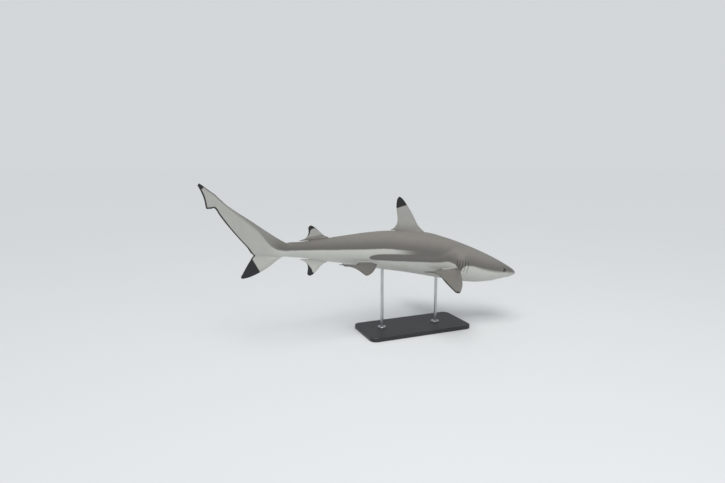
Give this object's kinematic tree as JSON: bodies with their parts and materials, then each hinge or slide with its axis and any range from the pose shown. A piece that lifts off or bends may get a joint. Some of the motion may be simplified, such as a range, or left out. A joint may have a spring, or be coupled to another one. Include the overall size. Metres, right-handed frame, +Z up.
{
  "type": "blacktip reef shark model on display stand",
  "caption": "Life-size still model of a blacktip reef shark, gently bent as it swims, held by short rods over a flat base.",
  "frame": {"origin": "centre of the stand base's underside, on the floor", "axes": "+X towards the head along the body at mid-length, +Y to the animal's left, +Z up"},
  "size_m": [1.2481, 0.5505, 0.5999],
  "materials": {
    "skin": "taupe-grey back, pale belly and black fin tips, fine satin grain",
    "eye": "polished, olive-grey iris with an upright black pupil",
    "stand_black": "satin black powder coat",
    "stand_steel": "fine brushed"
  },
  "bodies": {
    "root": {"head": "skin", "trunk": "skin", "tail_stalk": "skin", "caudal_fin_upper_lobe": "skin", "caudal_fin_lower_lobe": "skin", "first_dorsal_fin": "skin", "second_dorsal_fin": "skin", "anal_fin": "skin", "pectoral_fin_left": "skin", "pectoral_fin_right": "skin", "pelvic_fin_left": "skin", "pelvic_fin_right": "skin", "eye_left": "eye", "eye_right": "eye", "stand_base": "stand_black", "stand_rod_front": "stand_steel", "stand_rod_rear": "stand_steel"}
  },
  "joints": []
}
